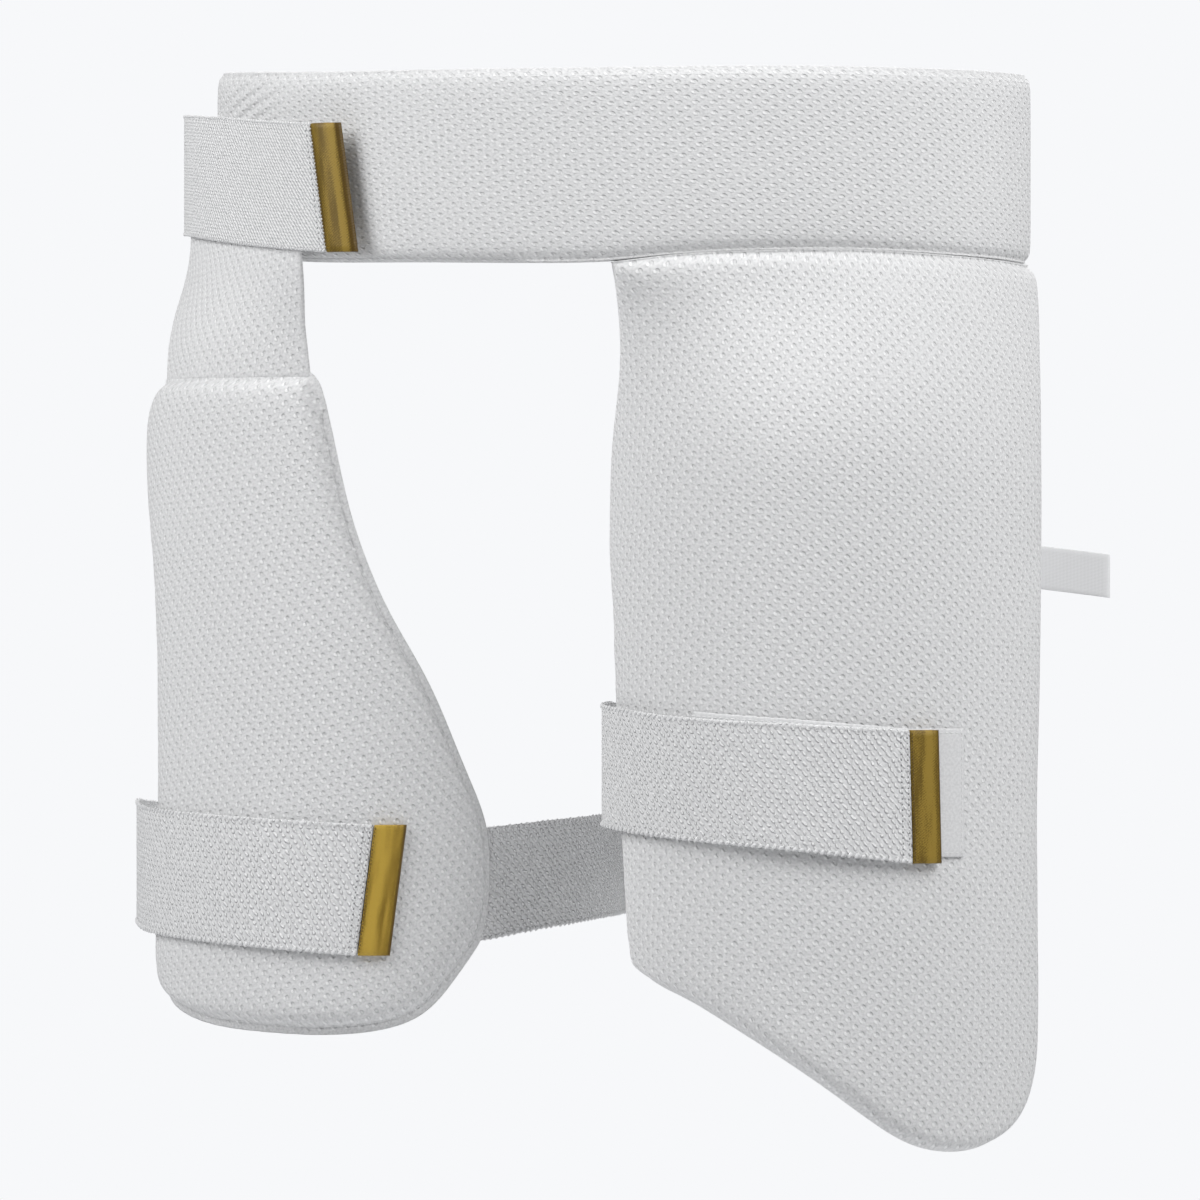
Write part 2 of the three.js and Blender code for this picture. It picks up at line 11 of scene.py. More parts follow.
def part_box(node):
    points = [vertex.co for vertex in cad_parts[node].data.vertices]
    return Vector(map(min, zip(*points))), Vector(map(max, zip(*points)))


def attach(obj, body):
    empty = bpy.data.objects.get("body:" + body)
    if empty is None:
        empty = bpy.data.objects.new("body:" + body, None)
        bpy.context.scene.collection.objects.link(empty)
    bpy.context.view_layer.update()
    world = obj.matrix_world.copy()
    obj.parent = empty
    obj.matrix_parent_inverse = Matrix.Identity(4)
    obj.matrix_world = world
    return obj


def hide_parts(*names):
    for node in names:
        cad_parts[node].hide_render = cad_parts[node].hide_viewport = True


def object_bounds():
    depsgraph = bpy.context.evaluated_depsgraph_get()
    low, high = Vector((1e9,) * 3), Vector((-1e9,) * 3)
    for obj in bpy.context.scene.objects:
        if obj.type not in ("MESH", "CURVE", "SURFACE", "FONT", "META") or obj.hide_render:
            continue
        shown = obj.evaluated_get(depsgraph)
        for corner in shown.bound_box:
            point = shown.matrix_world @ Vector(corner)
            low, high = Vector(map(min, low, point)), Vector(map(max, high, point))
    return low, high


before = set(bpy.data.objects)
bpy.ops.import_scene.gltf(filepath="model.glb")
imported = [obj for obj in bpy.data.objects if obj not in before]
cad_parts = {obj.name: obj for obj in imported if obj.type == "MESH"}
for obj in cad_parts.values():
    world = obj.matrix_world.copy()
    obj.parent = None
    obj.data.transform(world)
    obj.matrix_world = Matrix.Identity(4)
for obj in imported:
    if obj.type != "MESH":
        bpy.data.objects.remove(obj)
cad_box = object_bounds()
scene = bpy.context.scene

# Camera
# It stands level before the wearer's left leg with a long lens, as the photograph's did.
# Its view is centred a little below the middle of the guard.
CAMERA_AZIMUTH = math.radians(30)
CAMERA_DISTANCE = 4.5
CAMERA_LENS = 310.5
VIEW_SIDE = -0.0091
VIEW_HEIGHT = -0.1887
ahead = Vector((-math.sin(CAMERA_AZIMUTH), math.cos(CAMERA_AZIMUTH), 0))
rightwards = Vector((math.cos(CAMERA_AZIMUTH), math.sin(CAMERA_AZIMUTH), 0))
camera = bpy.data.objects.new("camera", bpy.data.cameras.new("camera"))
camera.location = rightwards * VIEW_SIDE + Vector((0, 0, VIEW_HEIGHT)) - ahead * CAMERA_DISTANCE
camera.rotation_euler = ahead.to_track_quat("-Z", "Y").to_euler()
camera.data.lens = CAMERA_LENS
scene.collection.objects.link(camera)
scene.camera = camera

# Studio
# A pale floor lies at the height of a wearer's feet, under an even white surround.
# Broad lamps stand to its right and left and behind it.
BACKDROP_COLOUR = (0.931, 0.939, 0.956, 1)
SURROUND_STRENGTH = 0.2
FLOOR_COLOUR = (0.86, 0.865, 0.875, 1)
FLOOR_GLOW = 0.8
FLOOR_HEIGHT = -0.95
FLOOR_RADIUS = 6
FLOOR_SIDES = 96
LAMP_DISTANCE = 1.8
LAMPS = [
    {"name": "key", "azimuth": 78, "height": 40, "size": 1.2, "power": 25},
    {"name": "fill", "azimuth": -35, "height": 35, "size": 1.2, "power": 23.4},
    {"name": "back", "azimuth": 200, "height": 40, "size": 1.2, "power": 16},
]
scene.view_settings.view_transform = "Standard"


def show_pale(tree, lighting, glow, share):
    """Lets a backdrop show its own pale glow, in part or in full, and keep its light on the guard."""
    glow.inputs["Color"].default_value = BACKDROP_COLOUR
    ray = tree.nodes.new("ShaderNodeLightPath")
    part = tree.nodes.new("ShaderNodeMath")
    part.operation = "MULTIPLY"
    part.inputs[1].default_value = share
    either = tree.nodes.new("ShaderNodeMixShader")
    output = next(node for node in tree.nodes if "Output" in node.bl_idname)
    for start, end in [
        (ray.outputs["Is Camera Ray"], part.inputs[0]),
        (part.outputs[0], either.inputs[0]),
        (lighting.outputs[0], either.inputs[1]),
        (glow.outputs[0], either.inputs[2]),
        (either.outputs[0], output.inputs["Surface"]),
    ]:
        tree.links.new(start, end)


world = bpy.data.worlds.new("surround")
world.use_nodes = True
scene.world = world
surround = world.node_tree.nodes["Background"]
surround.inputs["Color"].default_value = BACKDROP_COLOUR
surround.inputs["Strength"].default_value = SURROUND_STRENGTH
show_pale(world.node_tree, surround, world.node_tree.nodes.new("ShaderNodeBackground"), 1.0)
middle = (cad_box[0] + cad_box[1]) / 2
for row in LAMPS:
    azimuth, height = math.radians(row["azimuth"]), math.radians(row["height"])
    towards = Vector((
        math.sin(azimuth) * math.cos(height),
        -math.cos(azimuth) * math.cos(height),
        math.sin(height),
    ))
    lamp = bpy.data.objects.new(row["name"], bpy.data.lights.new(row["name"], "AREA"))
    lamp.data.energy = row["power"]
    lamp.data.size = row["size"]
    lamp.location = middle + towards * LAMP_DISTANCE
    lamp.rotation_euler = (-towards).to_track_quat("-Z", "Y").to_euler()
    scene.collection.objects.link(lamp)
floor_mesh = bpy.data.meshes.new("floor")
disc = bmesh.new()
bmesh.ops.create_circle(disc, cap_ends=True, radius=FLOOR_RADIUS, segments=FLOOR_SIDES)
bmesh.ops.translate(disc, verts=disc.verts, vec=(0, 0, FLOOR_HEIGHT))
disc.to_mesh(floor_mesh)
disc.free()
floor = bpy.data.objects.new("floor", floor_mesh)
floor_paint = bpy.data.materials.new("floor_paint")
floor_paint.use_nodes = True
paint = floor_paint.node_tree.nodes["Principled BSDF"]
paint.inputs["Base Color"].default_value = FLOOR_COLOUR
paint.inputs["Roughness"].default_value = 0.9
show_pale(floor_paint.node_tree, paint, floor_paint.node_tree.nodes.new("ShaderNodeEmission"), FLOOR_GLOW)
floor_mesh.materials.append(floor_paint)
scene.collection.objects.link(floor)

# Waist belt
# A foam-filled belt round an oval hip, in white air mesh: a knit with staggered pits, each with a
# raised lip. The pits are painted darker as shade and the lips lighter as a highlight.
# It is cut and sewn flat, so its edges roll over and its cloth swells a little.
HIP = {"middle": (0, 0), "width": 0.364, "depth": 0.252}
OVAL_STEPS = 6000
BELT_SWELL = {"slack": 0.0005, "cap": 0.0007}
BELT_CLOTH = {"lean": 0.1, "stretch": (1.22, 0.78)}
MESH_WHITE = (0.77, 0.772, 0.776, 1)
MESH_GREY = (0.6, 0.602, 0.607, 1)
# Painted shade: the colour that the pits and the seam groove are darkened towards.
PIT_AND_SEAM_SHADE = (0.43, 0.432, 0.44, 1)
PIT_PITCH = 0.0056
PIT_ANGLE = math.radians(-52)
PIT_LENGTH = 0.00125
PIT_WIDTH = 0.0008
PIT_DEPTH = 0.00045
# Painted highlight: the lighter colour of the lip on one side of each pit, standing in for its lit wall.
LIP_HIGHLIGHT = (0.95, 0.952, 0.956, 1)
LIP_SIDE = 0.0009
LIP_DROP = 0.0007
LIP_HEIGHT = 0.00026
KNIT_SIZE = 0.0011
KNIT_DEPTH = 0.00016
SEAM_INSET = 0.0038
SEAM_WIDTH = 0.0011
SEAM_DEPTH = 0.0005
SMOOTH_EDGE = (0.0005, 0.0035)
WANDER_SIZE = 0.05
WANDER = 0.003
EVEN_SIZE = 0.02
PULL_PITCH = 0.0065
PULL_UP = 0.9
PULL_ALONG = 0.42
PULL_DEPTH = 0.0005
BELT_PULLS = [(-68, 0.028, 0.03), (-42, 0.03, 0.02)]
THREAD_PLY = 0.0006
TOP_STITCH = {
    "Spacing": 0.003, "Length": 0.0022, "Width": 0.0006, "Height": 0.0005, "Unevenness": 0.05, "Seed": 3,
}
SWELL = {
    "quality": 6, "mass": 0.2, "tension_stiffness": 12, "compression_stiffness": 12, "shear_stiffness": 12,
    "bending_stiffness": 0.8, "use_pressure": True, "uniform_pressure_force": 4,
}
SWELL_FRAMES = 20
WELD = 1e-6
FLAT_FOLD = 0.6
ON_RIM = 0.99
RIM_CREASE = 0.85
CAD_ROLL = 0.007
TOP_ROLL = 0.0022
SEAM_ROLL = 0.0009
BELT_END = math.radians(0.5)
BELT_RISE = 0.0075
BELT_SEAM_TURN = math.radians(8)
CORNER_ANGLE = math.radians(125)
ABOVE_CLOTH = 0.1


class Oval:
    """A cross-section of the body that a piece wraps. Turns are radians from the wearer's front."""

    def __init__(self, middle, width, depth):
        self.middle = np.array(middle)
        self.half = np.array([width / 2, depth / 2])
        self.turns = np.linspace(-math.tau, 2 * math.tau, OVAL_STEPS)
        across, deep = self.half
        speeds = np.hypot(across * np.cos(self.turns), deep * np.sin(self.turns))
        lengths = np.concatenate([[0], np.cumsum((speeds[1:] + speeds[:-1]) / 2 * np.diff(self.turns))])
        self.lengths = lengths - np.interp(0, self.turns, lengths)

    def turn_of(self, points):
        """Each point's turn, counted from the back."""
        x, y = ((points[:, :2] - self.middle) / self.half).T
        return (np.arctan2(x, -y) + math.pi) % math.tau - math.pi

    def length_at(self, turns):
        return np.interp(turns, self.turns, self.lengths)

    def turn_at(self, lengths):
        return np.interp(lengths, self.lengths, self.turns)

    def place(self, turn, z, lift=0):
        """The point at a turn and height, off the body by the lift, and the way out there."""
        across, deep = self.half
        out = Vector((math.sin(turn) / across, -math.cos(turn) / deep, 0)).normalized()
        x, y = self.middle
        foot = Vector((x + across * math.sin(turn), y - deep * math.cos(turn), z))
        return foot + out * lift, out


class Value:
    """A socket's value. Sums on it add Math nodes."""

    def __init__(self, nodes, socket):
        self.nodes, self.socket = nodes, socket

    def __add__(self, other):
        return self.nodes.sum("ADD", self, other)

    def __sub__(self, other):
        return self.nodes.sum("SUBTRACT", self, other)

    def __rsub__(self, other):
        return self.nodes.sum("SUBTRACT", other, self)

    def __mul__(self, other):
        return self.nodes.sum("MULTIPLY", self, other)

    def __truediv__(self, other):
        return self.nodes.sum("DIVIDE", self, other)

    def __mod__(self, other):
        return self.nodes.sum("FLOORED_MODULO", self, other)

    __radd__ = __add__
    __rmul__ = __mul__


class Nodes:
    """A tree of nodes for a finish or for stitches."""

    def __init__(self, tree):
        self.tree = tree

    def feed(self, node, inputs):
        sockets = {socket.identifier: socket for socket in node.inputs}
        for key, value in inputs.items():
            if isinstance(value, Value):
                self.tree.links.new(value.socket, sockets[key])
            else:
                sockets[key].default_value = value

    def node(self, kind, settings, inputs):
        """Adds a node, sets it, feeds it and gives its outputs by their identifiers."""
        made = self.tree.nodes.new(kind)
        for key, value in settings.items():
            setattr(made, key, value)
        self.feed(made, inputs)
        return {socket.identifier: Value(self, socket) for socket in made.outputs}

    def sum(self, operation, *values):
        inputs = dict(zip(("Value", "Value_001", "Value_002"), values))
        return self.node("ShaderNodeMath", {"operation": operation}, inputs)["Value"]


class Recipe(Nodes):
    """One finish: a material and the nodes of its shader."""

    def __init__(self, name, constants):
        self.material = bpy.data.materials.new(name)
        self.material.use_nodes = True
        super().__init__(self.material.node_tree)
        self.shader = self.tree.nodes["Principled BSDF"]
        self.feed(self.shader, constants)

    def fade(self, value, start, end, low=0.0, high=1.0):
        """Low up to the start and high past the end, smooth between."""
        settings = {"interpolation_type": "SMOOTHSTEP"}
        inputs = {"Value": value, "From Min": start, "From Max": end, "To Min": low, "To Max": high}
        return self.node("ShaderNodeMapRange", settings, inputs)["Result"]

    def noise(self, place, size, detail=2.0):
        inputs = {"Vector": place, "Scale": 1 / size, "Detail": detail}
        return self.node("ShaderNodeTexNoise", {}, inputs)["Fac"]

    def blend(self, share, first, second):
        """A colour between two."""
        inputs = {"Factor_Float": share, "A_Color": first, "B_Color": second}
        return self.node("ShaderNodeMix", {"data_type": "RGBA"}, inputs)["Result_Color"]

    def mark(self, name):
        """A number that the piece's vertices carry."""
        return self.node("ShaderNodeAttribute", {"attribute_name": name}, {})["Fac"]

    def cloth(self):
        """Places on the cloth in metres: the whole place, along it and up it."""
        place = self.node("ShaderNodeUVMap", {"uv_map": "cloth"}, {})["UV"]
        parts = self.node("ShaderNodeSeparateXYZ", {}, {"Vector": place})
        return place, parts["X"], parts["Y"]

    def spots(self, along, up, pitch, row, angle, length, width):
        """How near each place is to a spot of a staggered grid: 1 at its middle, 0 at its edge."""
        across, rising = math.cos(angle), math.sin(angle)
        nearest = []
        for shift in (0.0, 0.5):
            side = ((along / pitch + shift) % 1 - 0.5) * pitch
            rise = ((up / (2 * row) + shift) % 1 - 0.5) * (2 * row)
            lengthwise = (side * across + rise * rising) / length
            crosswise = (rise * across - side * rising) / width
            nearest.append(lengthwise * lengthwise + crosswise * crosswise)
        return self.fade(self.sum("MINIMUM", *nearest), 0.0, 1.0, 1.0, 0.0)

    def relief(self, height):
        """Feeds a height in metres to the shader's normal."""
        inputs = {"Height": height, "Distance": 1.0, "Strength": 1.0}
        self.feed(self.shader, {"Normal": self.node("ShaderNodeBump", {}, inputs)["Normal"]})


air_mesh = Recipe("air_mesh", {"Roughness": 0.85, "Sheen Weight": 0.1, "Specular IOR Level": 0.25})
place, along, up = air_mesh.cloth()
wander = air_mesh.noise(place, WANDER_SIZE) * WANDER
drawn_along, drawn_up = along + wander, up + wander
pit_sizes = (PIT_PITCH, PIT_PITCH / 2, PIT_ANGLE, PIT_LENGTH, PIT_WIDTH)
pit_and_shade = air_mesh.spots(drawn_along, drawn_up, *pit_sizes)
lip_and_highlight = air_mesh.spots(drawn_along + LIP_SIDE, drawn_up + LIP_DROP, *pit_sizes)
evenness = air_mesh.fade(air_mesh.noise(place, EVEN_SIZE), 0.2, 0.5, 0.6, 1.0)
evenness = evenness * air_mesh.fade(air_mesh.mark("from_edge"), *SMOOTH_EDGE)
pit_and_shade, lip_and_highlight = pit_and_shade * evenness, lip_and_highlight * evenness
knit = air_mesh.noise(place, KNIT_SIZE, 4.0)
seam_and_shade = air_mesh.fade(air_mesh.mark("from_seam"), 0.0, SEAM_WIDTH, 1.0, 0.0)
creases = air_mesh.sum("SINE", (up * PULL_UP - along * PULL_ALONG + wander) * (math.tau / PULL_PITCH))
pulled = air_mesh.mark("pulled") * creases
ground = air_mesh.blend(air_mesh.fade(knit, 0.35, 0.75), MESH_WHITE, MESH_GREY)
# Painted highlight: each raised lip is also painted lighter on one side of its pit.
ground = air_mesh.blend(lip_and_highlight * 0.8, ground, LIP_HIGHLIGHT)
# Painted shade: the pits and the seam groove are painted darker, on top of their relief.
air_mesh.feed(air_mesh.shader, {"Base Color": air_mesh.blend(pit_and_shade * 0.06 + seam_and_shade * 0.1, ground, PIT_AND_SEAM_SHADE)})
raised = knit * KNIT_DEPTH + pulled * PULL_DEPTH + lip_and_highlight * LIP_HEIGHT
air_mesh.relief(raised - pit_and_shade * PIT_DEPTH - seam_and_shade * SEAM_DEPTH)


def joined(node):
    """A CAD node's surface with its loose triangles joined up."""
    surface = bmesh.new()
    surface.from_mesh(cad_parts[node].data)
    bmesh.ops.remove_doubles(surface, verts=surface.verts, dist=WELD)
    return surface


def quads(node):
    """A CAD node's surface with the diagonals of its quads taken out."""
    surface = joined(node)
    longest = {face: max(face.edges, key=lambda edge: edge.calc_length()) for face in surface.faces}
    diagonals = [
        edge for edge in surface.edges
        if all(longest[face] == edge for face in edge.link_faces) and edge.calc_face_angle() < FLAT_FOLD
    ]
    bmesh.ops.dissolve_edges(surface, edges=diagonals, use_verts=False)
    return surface


def piece_of(name, mesh, recipe):
    """Shows a mesh as a smooth piece with a finish."""
    piece = bpy.data.objects.new(name, mesh)
    scene.collection.objects.link(piece)
    mesh.materials.clear()
    mesh.materials.append(recipe.material)
    mesh.shade_smooth()
    return piece


def subdivide(piece):
    """Applies one level of subdivision surface."""
    modifier = piece.modifiers.new("subdivision", "SUBSURF")
    modifier.levels = modifier.render_levels = 1
    bpy.context.view_layer.objects.active = piece
    bpy.ops.object.modifier_apply(modifier=modifier.name)


def vertices_of(mesh):
    flat = np.empty(len(mesh.vertices) * 3, np.float32)
    mesh.vertices.foreach_get("co", flat)
    return flat.reshape(-1, 3).astype(float)


def move_to(piece, points):
    piece.data.vertices.foreach_set("co", points.astype(np.float32).ravel())
    piece.data.update()


def swell(piece, oval, slack, cap):
    """Lets the cloth of a pad's face swell over its foam, held at its edge and its back."""
    rest = vertices_of(piece.data)
    normals = np.array([vertex.normal for vertex in piece.data.vertices])
    free = np.einsum("ij,ij->i", normals[:, :2], rest[:, :2] - oval.middle) > 0
    free[rim_of(piece)] = False
    start = rest - normals * slack * free[:, None]
    move_to(piece, start)
    sewn = piece.vertex_groups.new(name="sewn")
    sewn.add([int(index) for index in np.flatnonzero(~free)], 1.0, "REPLACE")
    modifier = piece.modifiers.new("cloth", "CLOTH")
    for key, value in SWELL.items():
        setattr(modifier.settings, key, value)
    modifier.settings.vertex_group_mass = sewn.name
    modifier.settings.effector_weights.gravity = 0
    modifier.collision_settings.use_collision = False
    modifier.point_cache.frame_start = 1
    modifier.point_cache.frame_end = SWELL_FRAMES
    for number in range(1, SWELL_FRAMES + 1):
        scene.frame_set(number)
    swollen = vertices_of(piece.evaluated_get(bpy.context.evaluated_depsgraph_get()).data)
    piece.modifiers.remove(modifier)
    piece.vertex_groups.remove(sewn)
    scene.frame_set(1)
    moved = swollen - start
    lengths = np.linalg.norm(moved, axis=1, keepdims=True)
    move_to(piece, start + moved * np.minimum(1, cap / np.maximum(lengths, 1e-9)))


def lay_cloth(piece, oval, slope=0.0, lean=0.0, stretch=(1, 1)):
    """Gives a piece its cloth map: metres round the body and up it, as the cloth slopes and stretches."""
    points = vertices_of(piece.data)
    round_body = oval.length_at(oval.turn_of(points))
    up_body = points[:, 2]
    laid = np.stack([
        (round_body + up_body * lean) / stretch[0],
        (up_body + round_body * slope) / stretch[1],
    ], axis=1)
    corners = np.empty(len(piece.data.loops), np.int32)
    piece.data.loops.foreach_get("vertex_index", corners)
    cloth_map = piece.data.uv_layers.new(name="cloth")
    cloth_map.data.foreach_set("uv", laid[corners].astype(np.float32).ravel())


def mark_piece(piece, name, numbers):
    """Lets each vertex carry a number for the finish."""
    mark = piece.data.attributes.new(name, "FLOAT", "POINT")
    mark.data.foreach_set("value", np.asarray(numbers, np.float32))


def rim_of(piece):
    """The vertices on a pad's sewn edge."""
    return [v.index for v in piece.data.vertices if any(held.weight > ON_RIM for held in v.groups)]


def distances_to(piece, indices):
    """How far each vertex of a piece is from the nearest of some of them."""
    tree = KDTree(len(indices))
    for index in indices:
        tree.insert(piece.data.vertices[index].co, index)
    tree.balance()
    return np.array([tree.find(vertex.co)[2] for vertex in piece.data.vertices])


def mark_edge(piece):
    """Marks each vertex with its distance from the pad's sewn edge."""
    mark_piece(piece, "from_edge", distances_to(piece, rim_of(piece)))


def mark_seam(piece, inset, beside):
    """Marks a seam sewn a little in from chosen stretches of the edge, and no seam elsewhere."""
    points = vertices_of(piece.data)
    from_edge = distances_to(piece, [index for index in rim_of(piece) if beside(points[index])])
    mark_piece(piece, "from_seam", np.abs(from_edge - inset))


def mark_no_seam(piece):
    mark_piece(piece, "from_seam", np.ones(len(piece.data.vertices)))


def hold_rim(piece):
    """Creases a pad's sewn edge, and holds its corners, for the next subdivision."""
    surface = bmesh.new()
    surface.from_mesh(piece.data)
    crease = surface.edges.layers.float.get("crease_edge") or surface.edges.layers.float.new("crease_edge")
    hold = surface.verts.layers.float.get("crease_vert") or surface.verts.layers.float.new("crease_vert")
    weights = surface.verts.layers.deform.verify()
    rim = {vertex for vertex in surface.verts if vertex[weights].get(0, 0) > ON_RIM}
    for edge in surface.edges:
        edge[crease] = RIM_CREASE if rim.issuperset(edge.verts) else 0.0
    for vertex in rim:
        sides = [e.other_vert(vertex).co - vertex.co for e in vertex.link_edges if rim.issuperset(e.verts)]
        vertex[hold] = float(len(sides) == 2 and sides[0].angle(sides[1]) < CORNER_ANGLE)
    surface.to_mesh(piece.data)
    surface.free()


def square_up(piece, oval, rise, roll, beside):
    """Fills out the roll of the face beside chosen stretches of the sewn edge, for a flatter seam."""
    points = vertices_of(piece.data)
    rim = rim_of(piece)
    near = distances_to(piece, [index for index in rim if beside(points[index])])
    side = distances_to(piece, [index for index in rim if not beside(points[index])])
    out = (points[:, :2] - oval.middle) / oval.half ** 2
    out /= np.linalg.norm(out, axis=1, keepdims=True)
    normals = np.array([vertex.normal for vertex in piece.data.vertices])[:, :2]
    facing = np.einsum("ij,ij->i", normals, out) > 0

    def rolled(distance, radius):
        return np.sqrt(1 - (1 - np.clip(distance / radius, 0, 1)) ** 2)

    fuller = np.minimum(rolled(near, roll), rolled(side, CAD_ROLL))
    lift = rise * (fuller - rolled(np.minimum(near, side), CAD_ROLL)) * facing
    points[:, :2] += out * np.maximum(lift, 0)[:, None]
    move_to(piece, points)


def tuck(piece, edge, start, reach):
    """Draws the cloth near an edge at a height up or down by a reach, into the seam beside it."""
    points = vertices_of(piece.data)
    points[:, 2] += reach * np.clip(1 - np.abs(points[:, 2] - edge) / start, 0, 1)
    move_to(piece, points)


def mark_pulls(piece, spots):
    """Marks where the cloth is drawn into creases: rows of a middle and a reach."""
    points = vertices_of(piece.data)
    strength = np.zeros(len(points))
    for middle, reach in spots:
        strength += np.exp(-(np.linalg.norm(points - middle, axis=1) / reach) ** 2)
    mark_piece(piece, "pulled", strength)


def soft_copy(node, recipe, oval, slack=0.0, cap=0.0):
    """A CAD pad as a smooth cloth piece: rounded off, swollen, and smoothed once more."""
    surface = quads(node)
    surface.verts.index_update()
    faces_out = {}
    for face in surface.faces:
        out = (np.array(face.calc_center_median())[:2] - oval.middle) / oval.half ** 2
        faces_out[face] = np.dot(out, face.normal[:2]) > 0
    rim = {
        vertex.index for edge in surface.edges for vertex in edge.verts
        if len({faces_out[face] for face in edge.link_faces}) == 2
    }
    mesh = bpy.data.meshes.new(node)
    surface.to_mesh(mesh)
    surface.free()
    for old in list(mesh.uv_layers):
        mesh.uv_layers.remove(old)
    piece = piece_of(node + "_cloth", mesh, recipe)
    piece.vertex_groups.new(name="rim").add(sorted(rim), 1.0, "REPLACE")
    hold_rim(piece)
    subdivide(piece)
    if slack:
        swell(piece, oval, slack, cap)
    hold_rim(piece)
    subdivide(piece)
    mark_edge(piece)
    return piece


def stand_in(piece, node):
    """Fixes a piece to the guard in place of a CAD node."""
    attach(piece, "root")
    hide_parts(node)


def thread_of(name, colour, shade):
    """Spun thread, a little uneven in colour."""
    recipe = Recipe(name, {"Roughness": 0.7, "Sheen Weight": 0.15, "Specular IOR Level": 0.3})
    place = recipe.node("ShaderNodeTexCoord", {}, {})["Object"]
    ply = recipe.noise(place, THREAD_PLY, 2.0)
    recipe.feed(recipe.shader, {"Base Color": recipe.blend(ply, colour, shade)})
    recipe.relief(ply * THREAD_PLY * 0.2)
    return recipe


STITCH_INPUTS = [
    ("Path", "NodeSocketGeometry"),
    ("Spacing", "NodeSocketFloat"),
    ("Length", "NodeSocketFloat"),
    ("Width", "NodeSocketFloat"),
    ("Height", "NodeSocketFloat"),
    ("Slant", "NodeSocketFloat"),
    ("Zigzag", "NodeSocketFloat"),
    ("Unevenness", "NodeSocketFloat"),
    ("Seed", "NodeSocketInt"),
    ("Thread", "NodeSocketMaterial"),
]
stitch_tree = bpy.data.node_groups.new("stitches", "GeometryNodeTree")
for label, kind in STITCH_INPUTS:
    stitch_tree.interface.new_socket(label, in_out="INPUT", socket_type=kind)
stitch_tree.interface.new_socket("Stitches", in_out="OUTPUT", socket_type="NodeSocketGeometry")
sewing = Nodes(stitch_tree)
labels = [label for label, _ in STITCH_INPUTS]
given = dict(zip(labels, sewing.node("NodeGroupInput", {}, {}).values()))
line = sewing.node("GeometryNodeMeshToCurve", {}, {"Mesh": given["Path"]})["Curve"]
spaced = sewing.node(
    "GeometryNodeResampleCurve", {"mode": "LENGTH"}, {"Curve": line, "Length": given["Spacing"]},
)["Curve"]
outward = sewing.node("GeometryNodeInputNamedAttribute", {"data_type": "FLOAT_VECTOR"}, {"Name": "out"})
ahead_of_stitch = sewing.node("GeometryNodeInputTangent", {}, {})["Tangent"]
aim = sewing.node(
    "FunctionNodeAxesToRotation", {"primary_axis": "Z", "secondary_axis": "X"},
    {"Primary Axis": outward["Attribute"], "Secondary Axis": ahead_of_stitch},
)["Rotation"]
count = sewing.node("GeometryNodeInputIndex", {}, {})["Index"]
chance = sewing.node(
    "FunctionNodeRandomValue", {"data_type": "FLOAT"},
    {"Min_001": -1.0, "Max_001": 1.0, "Seed": given["Seed"]},
)["Value_001"] * given["Unevenness"]
slant = given["Slant"] * (1 - given["Zigzag"] * 2 * (count % 2)) + chance
turn_over = sewing.node(
    "FunctionNodeAxisAngleToRotation", {}, {"Axis": (0, 0, 1), "Angle": slant},
)["Rotation"]
laid = sewing.node(
    "FunctionNodeRotateRotation", {"rotation_space": "LOCAL"}, {"Rotation": aim, "Rotate By": turn_over},
)["Rotation"]
size = sewing.node(
    "ShaderNodeCombineXYZ", {},
    {"X": given["Length"] * (1 + chance), "Y": given["Width"], "Z": given["Height"]},
)["Vector"]
stitch_shape = sewing.node(
    "GeometryNodeMeshUVSphere", {}, {"Segments": 6, "Rings": 5, "Radius": 0.5},
)["Mesh"]
stitches = sewing.node("GeometryNodeInstanceOnPoints", {}, {
    "Points": spaced, "Instance": stitch_shape, "Rotation": laid, "Scale": size,
})["Instances"]
real = sewing.node("GeometryNodeRealizeInstances", {}, {"Geometry": stitches})["Geometry"]
smooth = sewing.node("GeometryNodeSetShadeSmooth", {}, {"Geometry": real})["Geometry"]
sewn = sewing.node(
    "GeometryNodeSetMaterial", {}, {"Geometry": smooth, "Material": given["Thread"]},
)["Geometry"]
stitch_tree.links.new(sewn.socket, stitch_tree.nodes.new("NodeGroupOutput").inputs[0])


def sew(name, paths, thread, slot, **sizes):
    """Sews stitches along paths of places that each come with the way out of the cloth."""
    points, ways, links = [], [], []
    for path in paths:
        links += [(len(points) + k, len(points) + k + 1) for k in range(len(path) - 1)]
        points += [tuple(place) for place, _ in path]
        ways += [tuple(way) for _, way in path]
    path_mesh = bpy.data.meshes.new(name + "_path")
    path_mesh.from_pydata(points, links, [])
    path_mesh.attributes.new("out", "FLOAT_VECTOR", "POINT").data.foreach_set("vector", np.ravel(ways))
    piece = bpy.data.objects.new(name, path_mesh)
    scene.collection.objects.link(piece)
    modifier = piece.modifiers.new("stitches", "NODES")
    modifier.node_group = stitch_tree
    sockets = {
        item.name: item.identifier for item in stitch_tree.interface.items_tree if item.in_out == "INPUT"
    }
    for label, value in {**sizes, "Thread": thread.material}.items():
        modifier[sockets[label]] = value
    depsgraph = bpy.context.evaluated_depsgraph_get()
    mesh = bpy.data.meshes.new_from_object(piece.evaluated_get(depsgraph), depsgraph=depsgraph)
    piece.modifiers.remove(modifier)
    piece.data = mesh
    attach(piece, "root")


